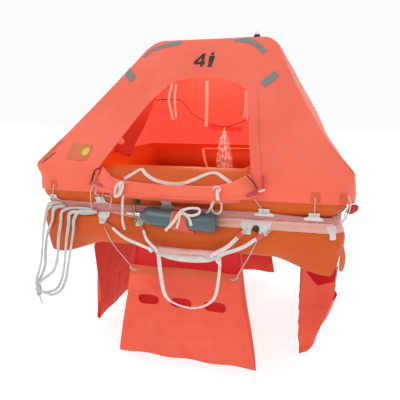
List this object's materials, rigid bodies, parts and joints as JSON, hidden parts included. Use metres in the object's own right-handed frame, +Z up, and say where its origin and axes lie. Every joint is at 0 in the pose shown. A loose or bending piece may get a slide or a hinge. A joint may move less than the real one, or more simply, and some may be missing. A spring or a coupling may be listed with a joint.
{
  "type": "inflatable life raft",
  "caption": "Square inflatable life raft with stacked buoyancy tubes, arch-held canopy, gas cylinder, boarding ladder and water pockets.",
  "frame": {"origin": "centre of the raft at its waterline, on the vertical through the middle of the square tubes", "axes": "+Z up, the entrance faces -Y, +X to the right seen from in front"},
  "size_m": [1.7898, 1.7948, 1.9655],
  "materials": {
    "tube_fabric": "satin coated fabric",
    "floor_fabric": "satin coated fabric",
    "canopy_cloth": "bright coated cloth",
    "pocket_cloth": "bright coated cloth",
    "pink_tape": "satin tape",
    "pale_band": "satin tape",
    "cylinder_steel": "gloss paint",
    "valve_brass": "satin",
    "black_plastic": "matte",
    "lens_clear": "gloss",
    "rung_pad": "padded sleeve",
    "webbing_white": "woven",
    "webbing_orange": "woven",
    "white_line": "braided",
    "float_foam": "soft foam",
    "label_orange": "plain patch",
    "label_yellow": "plain dot"
  },
  "bodies": {
    "raft": {"arch_tube": "tube_fabric", "canopy_back": "canopy_cloth", "canopy_front": "canopy_cloth", "canopy_left": "canopy_cloth", "canopy_right": "canopy_cloth", "corner_float": "float_foam", "crease_tape": "pink_tape", "cylinder_band": "canopy_cloth", "cylinder_valve": "valve_brass", "door_roll": "canopy_cloth", "gas_cylinder": "cylinder_steel", "hank_knot": "white_line", "hank_line_1": "white_line", "hank_line_2": "white_line", "hank_line_3": "white_line", "hank_line_4": "white_line", "hank_line_5": "white_line", "hank_tail": "white_line", "inlet_plate": "black_plastic", "label_dot": "label_yellow", "label_patch": "label_orange", "light_base": "black_plastic", "light_lens": "lens_clear", "lower_band": "pale_band", "lower_tube": "tube_fabric", "pocket_back": "pocket_cloth", "pocket_front": "pocket_cloth", "pocket_left": "pocket_cloth", "pocket_right": "pocket_cloth", "pocket_tie_back_a": "white_line", "pocket_tie_back_b": "white_line", "pocket_tie_front_a": "white_line", "pocket_tie_front_b": "white_line", "pocket_tie_left_a": "white_line", "pocket_tie_left_b": "white_line", "pocket_tie_right_a": "white_line", "pocket_tie_right_b": "white_line", "raft_floor": "floor_fabric", "righting_loop": "webbing_orange", "topping_valve": "black_plastic", "upper_tube": "tube_fabric"},
    "ladder": {"ladder_foot_loop": "webbing_white", "ladder_rung": "rung_pad", "ladder_strap_1": "webbing_white", "ladder_strap_2": "webbing_white", "ladder_strap_3": "webbing_white", "ladder_strap_4": "webbing_white", "ladder_webbing": "webbing_white"}
  },
  "joints": [
    {"name": "ladder_swing", "type": "hinge", "parent": "raft", "child": "ladder", "pos_m": [0.04, -0.8522, 0.13], "axis": [-1, 0, 0], "range_deg": [0, 60]}
  ]
}
